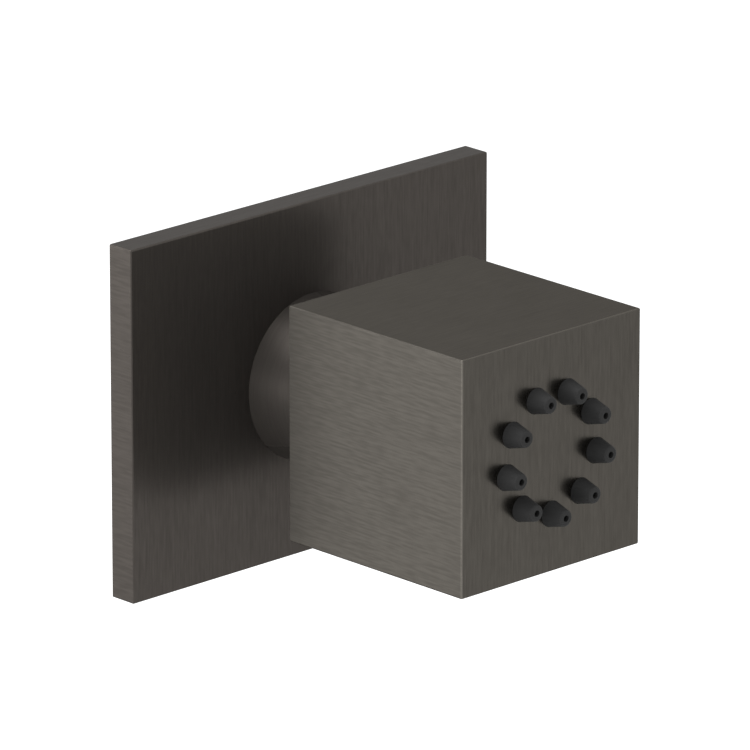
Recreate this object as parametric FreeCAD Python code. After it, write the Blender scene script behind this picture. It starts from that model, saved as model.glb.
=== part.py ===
"""Wall mounted shower body jet with a cube head that swivels on a ball joint.

Millimetres. X runs to the right along the wall, Z up, and Y into the wall. The origin is the
centre of the cover plate's back face, on the wall. A depth is a distance out of the wall, along -Y,
and each piece is given by the depths of its back (towards the wall) and its front.
"""
import FreeCAD
import Part
import math
import os

# Cover plate and its gasket
plate_width = 80.0
plate_height = 60.0
plate_thickness = 5.0
plate_rim = 3.0
gasket_thickness = 1.5
edge_round = 0.3

# Inlet connector, with a G1/2 thread
inlet_thread_r = 10.48
inlet_thread_length = 16.0
inlet_thread_pitch = 1.814
inlet_thread_depth = 1.16
inlet_thread_flat = 0.3
inlet_thread_angle = 55.0
inlet_chamfer = 1.0
inlet_lead_in = 0.5
connector_chamfer = 0.5
inlet_groove_width = 1.8
inlet_groove_depth = 2.0
key_across_flats = 12.0
key_depth = 9.0
throat_r = 4.5
pocket_r = 7.4
screen_thickness = 0.8
screen_rim_height = 1.6
screen_rim_width = 1.0
screen_hole_r = 0.6
screen_pitch = 2.0
regulator_height = 4.6
regulator_floor = 1.6
regulator_wall = 1.3
regulator_core_r = 2.6
regulator_ring_cord = 1.8
regulator_holes = 8
regulator_hole_r = 0.7
core_flutes = 6
core_flute_r = 0.5

# Ball joint
ball_r = 7.5
ball_setback = 6.0
water_bore_r = 2.5
neck_r = 4.25
neck_ball_round = 0.4
neck_flange_round = 0.8
swivel_angle = 15.0
slip_ring_wall = 1.05
slip_ring_width = 3.8
slip_ring_margin_angle = 2.0
mouth_hold = 0.3
mouth_land = 0.4
seat_length = 4.0
seat_groove_width = 2.0
seat_groove_depth = 1.3
seat_groove_back = 0.9
seat_hole_margin = 0.25
seat_chamfer = 0.3
spring_height = 1.5
spring_strip = 0.4
spring_width = 1.4
spring_waves = 3
connector_wall = 2.25

# Conical collar
collar_base_wall = 3.2
collar_half_angle = 15.0
collar_front_round = 0.3
collar_groove_width = 1.5
collar_groove_depth = 1.2
collar_groove_inset = 0.9
spanner_holes = 2
spanner_hole_r = 0.8
spanner_hole_depth = 2.0

# Cube head
cube_size = 40.0
swivel_clearance = 0.56
bore_wall = 4.0
bore_lead_in = 0.3
face_thickness = 3.5
cover_thickness = 3.0
cover_rim = 1.5
cover_corner_r = 1.6
cover_edge_round = 0.3
cover_boss_r = 9.0
cover_boss_height = 2.0
cover_groove_width = 1.3
cover_groove_depth = 1.0
cover_groove_inset = 0.6
screw_inset = 3.9
screw_shank_r = 1.5
screw_head_r = 2.75
screw_length = 9.0
screw_key_across_flats = 2.0
screw_key_depth = 1.1

# Threaded end of the ball stem, M10
flange_thickness = 1.8
flange_flat_depth = 0.9
flange_hold = 0.2
stem_thread_r = 5.0
stem_thread_spare = 1.2
stem_end_chamfer = 0.6
stem_groove_width = 1.0
stem_groove_depth = 0.9
washer_r = 8.4
washer_thickness = 0.8
washer_slit = 0.8
nut_across_flats = 16.0
nut_height = 5.0
nut_chamfer_angle = 30.0

# Nozzles and what holds them
nozzle_count = 9
nozzle_circle_d = 20.4
first_nozzle_angle = -90.0
nozzle_base_r = 2.3
nozzle_tip_r = 1.4
nozzle_length = 3.4
nozzle_tip_round = 0.35
nozzle_gap = 0.2
nozzle_jet_r = 0.55
nozzle_feed_r = 1.1
mat_thickness = 1.5
distributor_thickness = 3.4
distributor_channel_depth = 1.6
distributor_channel_width = 5.4
distributor_pull_hole_r = 1.5
retaining_ring_thickness = 1.2
retaining_ring_width = 2.4
retaining_ring_bite = 0.8
retaining_ring_gap_angle = 50.0
retaining_ring_lug_r = 1.9
retaining_ring_eye_r = 0.8

# Clearances
fit = 0.05
thread_fit = 0.05
ball_fit = 0.1
loose_fit = 0.3

# Lengths closer than this count as the same when edges are picked
same = 1e-6

# Depths and radii in the ball joint, worked out from the sizes above
ball_centre = plate_thickness + ball_setback
socket_r = ball_r + ball_fit + slip_ring_wall + ball_fit
mouth_r = ball_r - mouth_hold
mouth_reach = math.sqrt(socket_r ** 2 - mouth_r ** 2)
collar_front = ball_centre + mouth_reach + mouth_land
collar_thread_r = socket_r + connector_wall
collar_bore_r = collar_thread_r + thread_fit
collar_base_r = collar_bore_r + collar_base_wall
collar_length = collar_front - plate_thickness
collar_front_r = collar_base_r - collar_length * math.tan(math.radians(collar_half_angle))

slip_outer_r = ball_r + ball_fit + slip_ring_wall
mouth_angle = math.atan2(mouth_r, mouth_reach)
swivel = math.radians(swivel_angle)
slip_front_angle = mouth_angle + swivel + math.radians(slip_ring_margin_angle)
slip_front = slip_outer_r * math.cos(slip_front_angle)
slip_back = slip_front - slip_ring_width
slip_back_swung = slip_outer_r * math.cos(math.acos(slip_back / slip_outer_r) + swivel)

# The head tips in two directions, and this is the whole tip when both are at their limits
full_tip = math.acos(math.cos(swivel) ** 2)
bore_edge_angle = math.asin(water_bore_r / ball_r)
seat_front = ball_centre + slip_back_swung - loose_fit
seat_back = seat_front - seat_length
seat_outer_r = socket_r - fit
seat_hole_r = ball_r * math.sin(bore_edge_angle + full_tip) + seat_hole_margin
spring_back = seat_back - spring_height
connector_front = ball_centre - ball_fit

# Depths of the inlet, from its shoulder behind the plate back to its mouth
shoulder_back = -inlet_groove_width / 2
groove_back = shoulder_back - inlet_groove_width
inlet_end = groove_back - inlet_thread_length
screen_back = inlet_end + loose_fit
regulator_back = screen_back + screen_rim_height
pocket_front = regulator_back + regulator_height

# Depths and widths in the cube, which starts where its back clears the tipped collar's rim
rim_reach = collar_front - ball_centre
cube_back = ball_centre + (rim_reach * math.cos(full_tip) + collar_front_r * math.sin(full_tip)
                           + swivel_clearance)
cube_front = cube_back + cube_size
half_cube = cube_size / 2
bore_r = half_cube - bore_wall
cover_front = cube_back + cover_thickness
cover_pocket = cube_size - 2 * cover_rim
cover_width = cover_pocket - 4 * fit
screw_place = cover_pocket / 2 - screw_inset
flange_r = mouth_r - flange_hold
flange_front = cube_back + flange_thickness
boss_front = cover_front + cover_boss_height
washer_front = boss_front + washer_thickness
nut_front = washer_front + nut_height
stem_front = nut_front + stem_thread_spare
face_back = cube_front - face_thickness
mat_back = face_back - mat_thickness
distributor_back = mat_back - distributor_thickness
ring_back = distributor_back - retaining_ring_thickness
ring_groove_r = bore_r + retaining_ring_bite
nozzle_ring_r = nozzle_circle_d / 2

OUTWARDS = FreeCAD.Vector(0, -1, 0)


def at(x, depth, z):
    """A point, with its distance out of the wall in place of Y."""
    return FreeCAD.Vector(x, -depth, z)


def block(width, height, back, front):
    """A box centred on the axis of the jet."""
    return Part.makeBox(width, front - back, height, at(-width / 2, front, -height / 2))


def rod(radius, back, front, x=0.0, z=0.0):
    """A cylinder that runs out of the wall."""
    return Part.makeCylinder(radius, front - back, at(x, back, z), OUTWARDS)


def taper(back_r, front_r, back, front, x=0.0, z=0.0):
    """A cone cut off at both ends."""
    return Part.makeCone(back_r, front_r, front - back, at(x, back, z), OUTWARDS)


def tube(outer_r, inner_r, back, front):
    """A ring with a rectangular section."""
    return rod(outer_r, back, front).cut(rod(inner_r, back, front))


def turned(outline):
    """A solid turned about the axis of the jet, from its outline as (radius, depth) points."""
    points = [at(radius, depth, 0) for radius, depth in outline + outline[:1]]
    return Part.Face(Part.makePolygon(points)).revolve(FreeCAD.Vector(), OUTWARDS, 360)


def globe(radius):
    """A sphere on the centre of the ball joint, with its poles on the axis of the jet."""
    return Part.makeSphere(radius, at(0, ball_centre, 0), OUTWARDS)


def o_ring(middle_r, cord_r, depth):
    """A round seal, with its cord centred at a radius and a depth."""
    return Part.makeTorus(middle_r, cord_r, at(0, depth, 0), OUTWARDS)


def prism(sides, across_flats, back, front, x=0.0, z=0.0):
    """A regular prism that runs out of the wall, such as a hexagon."""
    corner_r = across_flats / 2 / math.cos(math.pi / sides)
    corners = []
    for i in range(sides + 1):
        turn = 2 * math.pi * i / sides
        corners.append(at(x + corner_r * math.cos(turn), back, z + corner_r * math.sin(turn)))
    return Part.Face(Part.makePolygon(corners)).extrude(OUTWARDS * (front - back))


def round_places(count, radius, first_angle=0.0):
    """Points spaced evenly on a circle round the axis of the jet, as (x, z)."""
    places = []
    for i in range(count):
        turn = math.radians(first_angle + 360.0 * i / count)
        places.append((radius * math.cos(turn), radius * math.sin(turn)))
    return places


def corner_places(distance):
    """The four corners of a square round the axis of the jet, as (x, z)."""
    return [(sx * distance, sz * distance) for sx in (-1, 1) for sz in (-1, 1)]


def nozzle_places():
    """The places of the nozzles on the face."""
    return round_places(nozzle_count, nozzle_ring_r, first_nozzle_angle)


def outer_edges(shape, *depths):
    """The straight edges that lie at the given depths or run between them."""
    wanted = []
    for edge in shape.Edges:
        if edge.Curve.TypeId != "Part::GeomLine":
            continue
        spread = edge.BoundBox
        if any(abs(-spread.YMin - depth) < same for depth in depths):
            wanted.append(edge)
    return wanted


def ring_edges(shape, radius, depth):
    """The round edges with the given radius that lie at a depth."""
    rings = []
    for edge in shape.Edges:
        if edge.Degenerated or edge.Curve.TypeId != "Part::GeomCircle":
            continue
        spread = edge.BoundBox
        flat = spread.YLength < same and abs(-spread.YMin - depth) < same
        if flat and abs(edge.Curve.Radius - radius) < same:
            rings.append(edge)
    return rings


def wall_plate():
    """Flat plate with slightly rounded edges, a hole and a recess for the gasket."""
    plate = block(plate_width, plate_height, 0, plate_thickness)
    plate = plate.makeFillet(edge_round, outer_edges(plate, plate_thickness))
    recess = block(plate_width - 2 * plate_rim, plate_height - 2 * plate_rim, 0, gasket_thickness)
    hole = rod(collar_thread_r + loose_fit, 0, plate_thickness)
    return plate.cut(recess).cut(hole)


def plate_gasket():
    """Sheet gasket that fills the recess behind the plate."""
    width = plate_width - 2 * plate_rim - 2 * loose_fit
    height = plate_height - 2 * plate_rim - 2 * loose_fit
    return block(width, height, 0, gasket_thickness).cut(
        rod(collar_thread_r + 2 * loose_fit, 0, gasket_thickness))


def thread_grooves():
    """The grooves of the inlet thread, as (radius, depth) points from the chamfer to the last one."""
    root_r = inlet_thread_r - inlet_thread_depth
    half_root = inlet_thread_flat / 2
    half_groove = half_root + inlet_thread_depth * math.tan(math.radians(inlet_thread_angle / 2))
    start = inlet_end + inlet_chamfer
    outline = []
    for turn in range(int((groove_back - start) / inlet_thread_pitch)):
        middle = start + (turn + 0.5) * inlet_thread_pitch
        outline += [(inlet_thread_r, middle - half_groove), (root_r, middle - half_root),
                    (root_r, middle + half_root), (inlet_thread_r, middle + half_groove)]
    return outline


def inlet_connector():
    """Turned body with the inlet thread, the key socket and the bore that holds the seat."""
    body = turned([(0, inlet_end), (inlet_thread_r - inlet_chamfer, inlet_end),
                   (inlet_thread_r, inlet_end + inlet_chamfer), *thread_grooves(),
                   (inlet_thread_r, groove_back), (0, groove_back)])
    body = body.fuse(rod(collar_thread_r - inlet_groove_depth, groove_back, shoulder_back))
    body = body.fuse(rod(collar_thread_r, shoulder_back, connector_front - connector_chamfer))
    body = body.fuse(taper(collar_thread_r, collar_thread_r - connector_chamfer,
                           connector_front - connector_chamfer, connector_front))
    body = body.cut(rod(pocket_r, inlet_end, pocket_front))
    body = body.cut(taper(pocket_r + inlet_lead_in, pocket_r, inlet_end, inlet_end + inlet_lead_in))
    body = body.cut(rod(throat_r, pocket_front, spring_back))
    body = body.cut(prism(6, key_across_flats, spring_back - key_depth, spring_back))
    body = body.cut(rod(socket_r, spring_back, connector_front))
    return body.removeSplitter()


def inlet_o_ring():
    """Seal in the groove between the inlet thread and the shoulder."""
    cord_r = inlet_groove_width / 2 - fit
    groove_floor = collar_thread_r - inlet_groove_depth
    return o_ring(groove_floor + fit + cord_r, cord_r, (groove_back + shoulder_back) / 2)


def filter_screen():
    """Perforated strainer with a raised rim, held in the mouth of the inlet."""
    outer_r = pocket_r - fit
    inner_r = outer_r - screen_rim_width
    front = screen_back + screen_rim_height
    screen = rod(outer_r, front - screen_thickness, front)
    screen = screen.fuse(tube(outer_r, inner_r, screen_back, front)).removeSplitter()
    row_height = screen_pitch * math.sqrt(3) / 2
    rows = int(inner_r / row_height)
    holes = []
    for row in range(-rows, rows + 1):
        shift = screen_pitch / 2 if row % 2 else 0.0
        columns = int(inner_r / screen_pitch) + 1
        for column in range(-columns, columns + 1):
            x = column * screen_pitch + shift
            z = row * row_height
            if math.hypot(x, z) + screen_pitch / 2 < inner_r:
                holes.append(rod(screen_hole_r, screen_back, front, x, z))
    return screen.cut(Part.makeCompound(holes))


def flow_regulator():
    """Cup with a fluted core, open towards the inlet, with outlets in its floor."""
    outer_r = pocket_r - fit
    floor_back = pocket_front - regulator_floor
    cup = rod(outer_r, regulator_back, pocket_front)
    cup = cup.cut(rod(outer_r - regulator_wall, regulator_back, floor_back))
    core = rod(regulator_core_r, regulator_back + loose_fit, floor_back)
    for x, z in round_places(core_flutes, regulator_core_r):
        core = core.cut(rod(core_flute_r, regulator_back, floor_back, x, z))
    cup = cup.fuse(core).removeSplitter()
    outlet_ring_r = throat_r - regulator_hole_r
    for x, z in round_places(regulator_holes, outlet_ring_r, 180.0 / regulator_holes):
        cup = cup.cut(rod(regulator_hole_r, floor_back, pocket_front, x, z))
    return cup


def regulator_ring():
    """Soft ring that lies on the cup's floor round the core."""
    cord_r = regulator_ring_cord / 2
    floor_back = pocket_front - regulator_floor
    return o_ring(regulator_core_r + fit + cord_r, cord_r, floor_back - cord_r - fit)


def seat_spring():
    """Wave spring, a flat strip bent into waves round a circle."""
    outer_r = socket_r - 2 * fit
    inner_r = outer_r - spring_width
    swing = (spring_height - spring_strip) / 2
    middle = spring_back + swing
    steps = 8 * spring_waves
    rims = []
    for radius in (inner_r, outer_r):
        points = []
        for i in range(steps):
            turn = 2 * math.pi * i / steps
            depth = middle + swing * math.sin(spring_waves * turn)
            points.append(at(radius * math.cos(turn), depth, radius * math.sin(turn)))
        curve = Part.BSplineCurve()
        curve.interpolate(Points=points, PeriodicFlag=True)
        rims.append(curve.toShape())
    return Part.makeRuledSurface(rims[0], rims[1]).extrude(OUTWARDS * spring_strip)


def collar():
    """Cone with a bore for the connector and a round socket that ends in the mouth."""
    cone = taper(collar_base_r, collar_front_r, plate_thickness, collar_front)
    cone = cone.makeFillet(collar_front_round, ring_edges(cone, collar_front_r, collar_front))
    thread_front = ball_centre + ball_fit
    cone = cone.cut(rod(collar_bore_r, plate_thickness, thread_front))
    cone = cone.cut(globe(socket_r))
    cone = cone.cut(rod(mouth_r, thread_front, collar_front))
    groove_r = collar_bore_r + collar_groove_inset
    groove_front = plate_thickness + collar_groove_depth
    cone = cone.cut(tube(groove_r + collar_groove_width, groove_r, plate_thickness, groove_front))
    hole_ring_r = (mouth_r + collar_front_r) / 2
    for x, z in round_places(spanner_holes, hole_ring_r):
        cone = cone.cut(rod(spanner_hole_r, collar_front - spanner_hole_depth, collar_front, x, z))
    return cone


def collar_o_ring():
    """Seal between the collar and the plate."""
    cord_r = collar_groove_depth / 2 - fit
    middle_r = collar_bore_r + collar_groove_inset + collar_groove_width / 2
    return o_ring(middle_r, cord_r, plate_thickness + collar_groove_depth / 2)


def seat_ring():
    """Plastic seat with a round face for the ball and a groove for its seal."""
    ring = rod(seat_outer_r, seat_back, seat_front)
    ring = ring.makeChamfer(seat_chamfer, ring_edges(ring, seat_outer_r, seat_back))
    ring = ring.cut(rod(seat_hole_r, seat_back, seat_front)).cut(globe(ball_r + ball_fit))
    groove_back_depth = seat_back + seat_groove_back
    groove = tube(seat_outer_r, seat_outer_r - seat_groove_depth,
                  groove_back_depth, groove_back_depth + seat_groove_width)
    return ring.cut(groove)


def seat_o_ring():
    """Seal in the groove round the seat."""
    cord_r = seat_groove_depth / 2 - fit / 2
    middle = seat_back + seat_groove_back + seat_groove_width / 2
    return o_ring(seat_outer_r - cord_r, cord_r, middle)


def slip_ring():
    """Ring cut from a hollow sphere, between the ball and the collar."""
    shell = globe(slip_outer_r).cut(globe(ball_r + ball_fit))
    return shell.common(rod(socket_r, ball_centre + slip_back, ball_centre + slip_front))


def flange_shape(clearance):
    """Round flange with two flats, which stop it turning in the cover."""
    disc = rod(flange_r + clearance, cube_back, flange_front)
    width = 2 * (flange_r - flange_flat_depth + clearance)
    return disc.common(block(width, cube_size, cube_back, flange_front))


def ball_stem():
    """Ball, neck, flange and threaded end, bored through for the water."""
    neck_start = ball_centre + math.sqrt(ball_r ** 2 - neck_r ** 2)
    thread = rod(stem_thread_r, flange_front - fit, stem_front)
    thread = thread.makeChamfer(stem_end_chamfer, ring_edges(thread, stem_thread_r, stem_front))
    stem = globe(ball_r).fuse(rod(neck_r, ball_centre, cube_back + flange_thickness / 2))
    stem = stem.fuse(flange_shape(0.0)).removeSplitter()
    stem = stem.makeFillet(neck_ball_round, ring_edges(stem, neck_r, neck_start))
    stem = stem.makeFillet(neck_flange_round, ring_edges(stem, neck_r, cube_back))
    stem = stem.fuse(thread)
    stem = stem.cut(rod(water_bore_r, ball_centre - ball_r, stem_front))
    return stem.removeSplitter()


def stem_o_ring():
    """Seal in the cover, under the stem's flange."""
    cord_r = stem_groove_depth / 2 - fit / 2
    middle_r = stem_thread_r + thread_fit + stem_groove_width / 2
    return o_ring(middle_r, cord_r, flange_front + stem_groove_depth / 2)


def cover_outline(width, back, front):
    """A square block with rounded corners."""
    body = block(width, width, back, front)
    corners = [edge for edge in body.Edges if abs(edge.BoundBox.YLength - (front - back)) < same]
    return body.makeFillet(cover_corner_r, corners)


def rear_cover():
    """Cover with a boss for the stem, a seat for its flange and four countersunk holes."""
    cover = cover_outline(cover_width, cube_back, cover_front)
    rim = [edge for edge in cover.Edges if abs(-edge.BoundBox.YMin - cube_back) < same]
    cover = cover.makeFillet(cover_edge_round, rim)
    cover = cover.fuse(rod(cover_boss_r, cover_front, boss_front))
    cover = cover.cut(flange_shape(fit))
    hole_r = stem_thread_r + thread_fit
    cover = cover.cut(rod(hole_r, flange_front, boss_front))
    cover = cover.cut(rod(hole_r + stem_groove_width, flange_front, flange_front + stem_groove_depth))
    sink_depth = screw_head_r - screw_shank_r
    for x, z in corner_places(screw_place):
        cover = cover.cut(rod(screw_shank_r + fit, cube_back, cover_front, x, z))
        cover = cover.cut(taper(screw_head_r + fit, screw_shank_r + fit,
                                cube_back, cube_back + sink_depth, x, z))
    return cover.removeSplitter()


def cover_o_ring():
    """Seal between the cover and the cube."""
    cord_r = cover_groove_depth / 2 - fit / 2
    middle_r = bore_r + cover_groove_inset + cover_groove_width / 2
    return o_ring(middle_r, cord_r, cover_front + cover_groove_depth / 2)


def cover_screws():
    """Four countersunk screws with hexagon sockets."""
    sink_depth = screw_head_r - screw_shank_r
    screws = []
    for x, z in corner_places(screw_place):
        head = taper(screw_head_r, screw_shank_r, cube_back, cube_back + sink_depth, x, z)
        shank = rod(screw_shank_r, cube_back + sink_depth, cube_back + screw_length, x, z)
        socket = prism(6, screw_key_across_flats, cube_back, cube_back + screw_key_depth, x, z)
        screws.append(head.fuse(shank).removeSplitter().cut(socket))
    return Part.makeCompound(screws)


def lock_washer():
    """Split washer under the nut."""
    ring = tube(washer_r, stem_thread_r + 2 * fit, boss_front, washer_front)
    slit = Part.makeBox(washer_r, washer_thickness, washer_slit,
                        at(0, washer_front, -washer_slit / 2))
    return ring.cut(slit)


def stem_nut():
    """Hexagon nut, with its corners turned down to a cone at both ends."""
    nut = prism(6, nut_across_flats, washer_front, nut_front)
    face_r = nut_across_flats / 2
    base_r = face_r + nut_height / math.tan(math.radians(nut_chamfer_angle))
    nut = nut.common(taper(base_r, face_r, washer_front, nut_front))
    nut = nut.common(taper(face_r, base_r, washer_front, nut_front))
    return nut.cut(rod(stem_thread_r + thread_fit, washer_front, nut_front))


def head_shell():
    """Cube bored from behind, with holes for the nozzles in its face."""
    cube = block(cube_size, cube_size, cube_back, cube_front)
    cube = cube.makeFillet(edge_round, cube.Edges)
    cube = cube.cut(cover_outline(cover_pocket, cube_back, cover_front))
    cube = cube.cut(rod(bore_r, cover_front, face_back))
    cube = cube.cut(taper(bore_r + bore_lead_in, bore_r, cover_front, cover_front + bore_lead_in))
    groove_r = bore_r + cover_groove_inset
    cube = cube.cut(tube(groove_r + cover_groove_width, groove_r,
                         cover_front, cover_front + cover_groove_depth))
    cube = cube.cut(rod(ring_groove_r, ring_back - fit, distributor_back))
    for x, z in corner_places(screw_place):
        cube = cube.cut(rod(screw_shank_r + thread_fit, cover_front,
                            cube_back + screw_length + loose_fit, x, z))
    for x, z in nozzle_places():
        cube = cube.cut(rod(nozzle_base_r + nozzle_gap, face_back, cube_front, x, z))
    return cube


def nozzle(x, z):
    """Cone with a rounded tip on a stem that passes through the face."""
    tip = cube_front + nozzle_length
    cone = taper(nozzle_base_r, nozzle_tip_r, cube_front, tip, x, z)
    cone = cone.makeFillet(nozzle_tip_round, ring_edges(cone, nozzle_tip_r, tip))
    return cone.fuse(rod(nozzle_base_r, face_back, cube_front, x, z))


def nozzle_mat():
    """Soft disc behind the face, with a conical nozzle through each hole."""
    mat = rod(bore_r - 2 * fit, mat_back, face_back)
    tip = cube_front + nozzle_length
    for x, z in nozzle_places():
        mat = mat.fuse(nozzle(x, z))
    for x, z in nozzle_places():
        mat = mat.cut(taper(nozzle_feed_r, nozzle_jet_r, mat_back, tip, x, z))
    return mat


def distributor_plate():
    """Disc that presses the mat on the face, with a ring channel and a hole for each nozzle."""
    plate = rod(bore_r - 2 * fit, distributor_back, mat_back)
    half_width = distributor_channel_width / 2
    channel = tube(nozzle_ring_r + half_width, nozzle_ring_r - half_width,
                   distributor_back, distributor_back + distributor_channel_depth)
    plate = plate.cut(channel)
    for x, z in nozzle_places():
        plate = plate.cut(rod(nozzle_feed_r, distributor_back, mat_back, x, z))
    return plate.cut(rod(distributor_pull_hole_r, distributor_back,
                         distributor_back + distributor_channel_depth))


def retaining_ring():
    """Internal circlip with a gap and two lugs with eyes."""
    outer_r = ring_groove_r - fit
    inner_r = outer_r - retaining_ring_width
    ring = tube(outer_r, inner_r, ring_back, distributor_back)
    half_gap = math.radians(retaining_ring_gap_angle / 2)
    reach = 2 * outer_r
    corners = [at(0, ring_back, 0)]
    for turn in (-half_gap, half_gap):
        corners.append(at(reach * math.sin(turn), ring_back, reach * math.cos(turn)))
    corners.append(corners[0])
    ring = ring.cut(Part.Face(Part.makePolygon(corners)).extrude(OUTWARDS * retaining_ring_thickness))
    lug_ring_r = bore_r - fit - retaining_ring_lug_r
    for turn in (-half_gap, half_gap):
        x = lug_ring_r * math.sin(turn)
        z = lug_ring_r * math.cos(turn)
        ring = ring.fuse(rod(retaining_ring_lug_r, ring_back, distributor_back, x, z))
        ring = ring.cut(rod(retaining_ring_eye_r, ring_back, distributor_back, x, z))
    return ring.removeSplitter()


PIECES = (wall_plate, plate_gasket, inlet_connector, inlet_o_ring, filter_screen, flow_regulator,
          regulator_ring, seat_spring, collar, collar_o_ring, seat_ring, seat_o_ring, slip_ring,
          ball_stem, stem_o_ring, rear_cover, cover_o_ring, cover_screws, lock_washer, stem_nut,
          head_shell, nozzle_mat, distributor_plate, retaining_ring)


def main():
    """Build each piece and write it under its own name."""
    os.makedirs("parts", exist_ok=True)
    for piece in PIECES:
        piece().exportStep("parts/" + piece.__name__ + ".step")


main()
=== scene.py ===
"""Finish and stage for a wall mounted shower body jet in brushed gunmetal.

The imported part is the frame. Its pieces keep their place, and this file gives them their finishes.
It makes the moulded nozzles with their rims, the threaded inlet and the cover screws in full detail,
and sets the stage, the light and the camera. Lengths are in metres, X along the wall, Y into it and
Z up.
"""
import math

import bmesh
import bpy
from bpy.props import FloatProperty, FloatVectorProperty, IntProperty, PointerProperty
from mathutils import Matrix, Vector


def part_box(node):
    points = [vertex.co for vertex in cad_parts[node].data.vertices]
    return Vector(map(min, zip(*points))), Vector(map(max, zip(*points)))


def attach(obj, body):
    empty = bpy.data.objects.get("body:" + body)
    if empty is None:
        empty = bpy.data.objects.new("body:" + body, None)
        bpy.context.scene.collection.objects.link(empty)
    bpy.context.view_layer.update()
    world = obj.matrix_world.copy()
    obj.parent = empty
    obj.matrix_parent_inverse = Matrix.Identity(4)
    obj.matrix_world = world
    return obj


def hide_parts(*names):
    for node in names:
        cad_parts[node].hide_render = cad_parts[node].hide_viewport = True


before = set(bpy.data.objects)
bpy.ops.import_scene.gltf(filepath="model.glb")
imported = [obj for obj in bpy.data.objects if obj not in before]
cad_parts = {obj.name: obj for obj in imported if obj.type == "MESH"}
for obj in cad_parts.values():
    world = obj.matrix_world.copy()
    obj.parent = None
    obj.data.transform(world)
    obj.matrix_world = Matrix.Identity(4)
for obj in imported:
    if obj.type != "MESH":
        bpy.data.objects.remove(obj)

bl_info = {
    "name": "Shower Body Jet",
    "version": (1, 0, 0),
    "blender": (4, 5, 0),
    "location": "3D View > Sidebar > Body Jet",
    "description": "Finishes, nozzles, rims, inlet thread, screws and stage for a shower body jet",
    "category": "Object",
}

MM = 0.001

# Edges that turn by more than this stay hard, and points nearer than this are one
SHARP_ANGLE = math.radians(32)
MERGE_DISTANCE = 1e-7


# Faces and sizes that the frame gives
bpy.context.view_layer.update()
FACE_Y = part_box("head_shell")[0].y
MAT_LOW, MAT_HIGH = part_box("nozzle_mat")
CONNECTOR_LOW, CONNECTOR_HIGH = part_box("inlet_connector")
SCREWS_LOW, SCREWS_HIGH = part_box("cover_screws")
SCREEN_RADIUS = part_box("filter_screen")[1].x
REGULATOR_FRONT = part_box("flow_regulator")[0].y
SPRING_RADIUS, SPRING_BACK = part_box("seat_spring")[1].xy

# Shares of the short, long and broad brush lines in the colour, and of the first two in the height
SHORT_LINES, LONG_LINES, BROAD_LINES = 0.42, 0.48, 0.10
SHORT_HEIGHT, LONG_HEIGHT = 0.6, 0.4

# How much longer the long lines are, and the scale of the noise that makes the broad ones
LONG_STRETCH = 3.5
BROAD_SCALE = 0.12

# How deep brush lines are on the sides, on the front and back, and on the top and bottom
BRUSH_DEPTHS = (1.0, 0.6, 0.5)

# A face lies flat on an axis when its normal has more than this along it, and the front's own metal share,
# roughness and painted shade fade in between these two
FLAT_ON = 0.7
FRONT_FROM, FRONT_FULL = 0.5, 0.9

# Shares of fine and broad tool marks on turned pieces, the scale of the noise that makes the broad
# ones, and the weight of the radius beside the depth in a mark's place
FINE_MARKS, BROAD_MARKS = 0.55, 0.45
BROAD_MARK_SCALE = 0.3
RADIUS_WEIGHT = 1.7

# Steps between noises, so that their patterns don't fall on each other
LONG_STEP = (31.0, 17.0, 5.0)
BROAD_STEP = (7.0, 43.0, 71.0)
TURNED_STEP = (3.0, 19.0, 41.0)

# Noise at which a line is darkest and lightest, how far lines and handling marks change a metal,
# and the height of the lines
LINE_DARK, LINE_LIGHT = 0.36, 0.64
LINE_ROUGHNESS = 0.03
MARK_ROUGHNESS = 0.02
MARK_TONE = 0.05
LINE_HEIGHT = 0.000004

# Shares of grain and patches in a moulded skin, its height and how far it changes the roughness
GRAIN_SHARE, PATCH_SHARE = 0.4, 0.6
SKIN_HEIGHT = 0.000008
SKIN_ROUGHNESS = 0.05

# Steepness of the inlet thread's flanks
FLANK = 1.5


def a_length(name, description, default):
    """A length that a user may change."""
    return FloatProperty(name=name, description=description, default=default, min=0.0,
                         precision=5, subtype="DISTANCE", unit="LENGTH")


def a_share(name, description, default):
    """A number from 0 to 1 that a user may change."""
    return FloatProperty(name=name, description=description, default=default, min=0.0, max=1.0,
                         subtype="FACTOR")


def a_colour(name, description, default):
    """A colour that a user may change."""
    return FloatVectorProperty(name=name, description=description, default=default, size=3,
                               min=0.0, max=1.0, subtype="COLOR")


def a_tone(name, description, default):
    """How bright something is beside the rest."""
    return FloatProperty(name=name, description=description, default=default, min=0.0,
                         subtype="FACTOR")


def a_place(name, description, default):
    """A point that a user may move."""
    return FloatVectorProperty(name=name, description=description, default=default, size=3,
                               subtype="TRANSLATION", unit="LENGTH")


def a_power(name, description, default):
    """A lamp's power in watts."""
    return FloatProperty(name=name, description=description, default=default, min=0.0,
                         subtype="POWER", unit="POWER")


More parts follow.
